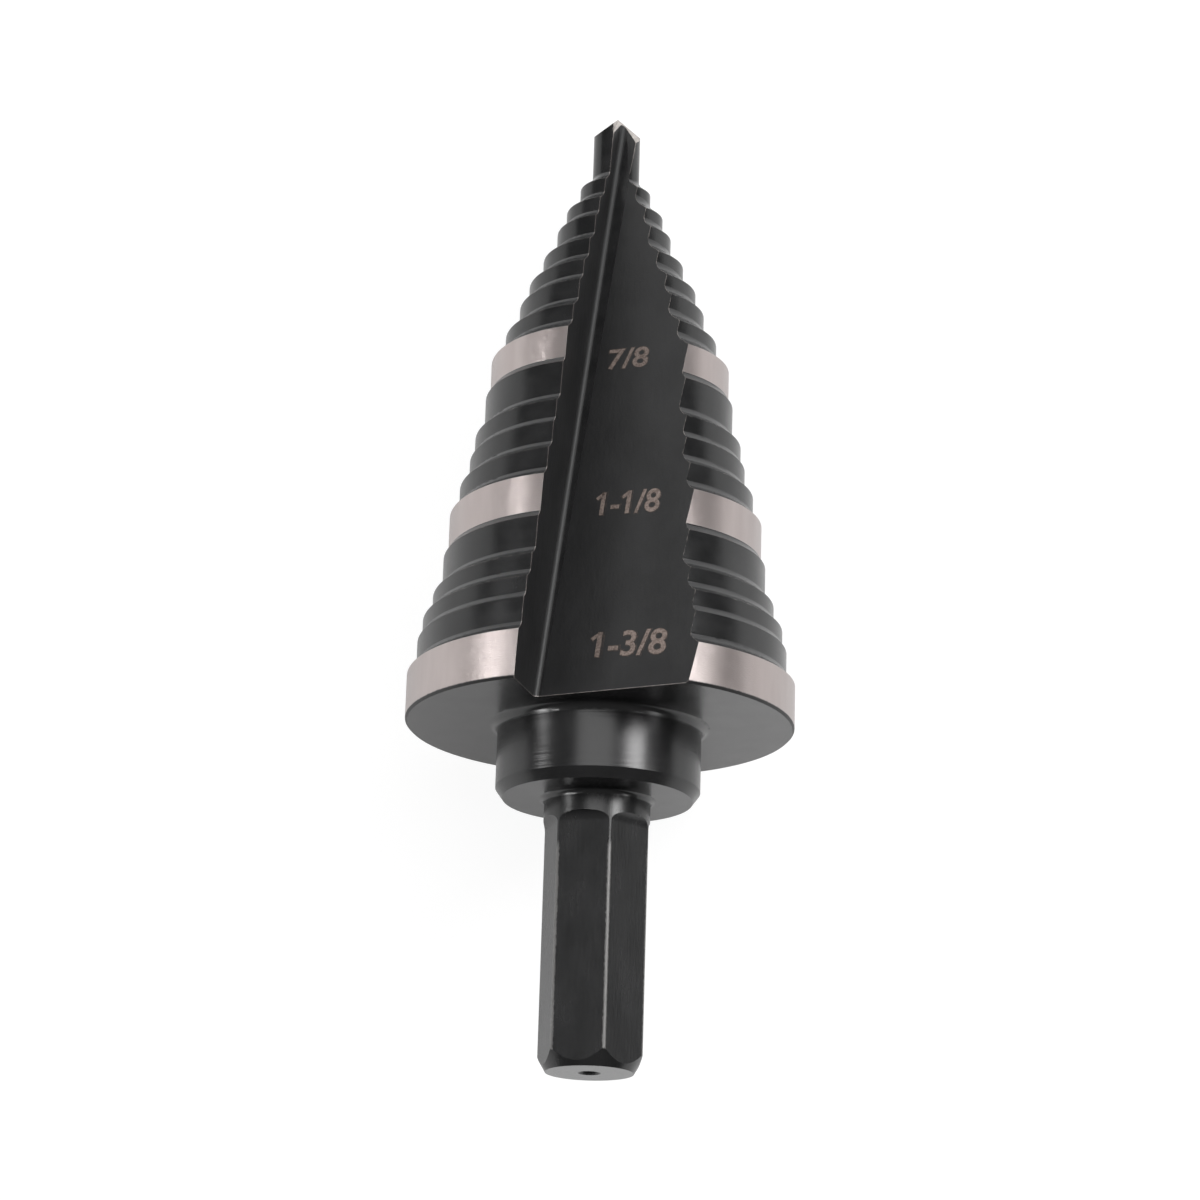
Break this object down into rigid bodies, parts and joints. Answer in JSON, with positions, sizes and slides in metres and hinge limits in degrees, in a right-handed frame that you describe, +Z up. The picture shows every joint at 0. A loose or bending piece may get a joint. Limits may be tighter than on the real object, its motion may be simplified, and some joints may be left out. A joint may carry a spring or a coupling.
{
  "type": "step drill",
  "caption": "Step drill with relieved stepped lands, bright guide bands, leaning straight flutes, a split point and a hex shank, lying on its cutting edges.",
  "frame": {"origin": "on the surface that the drill lies on, below the middle of its bounding box", "axes": "+Y along the drill towards its point, +Z up, out of the flute that faces up, +X to the right of that flute"},
  "size_m": [0.035, 0.09, 0.0319],
  "materials": {
    "tool_steel": "black oxide tool steel, with the guide bands ground bright"
  },
  "bodies": {
    "root": {"step_drill": "tool_steel"}
  },
  "joints": []
}
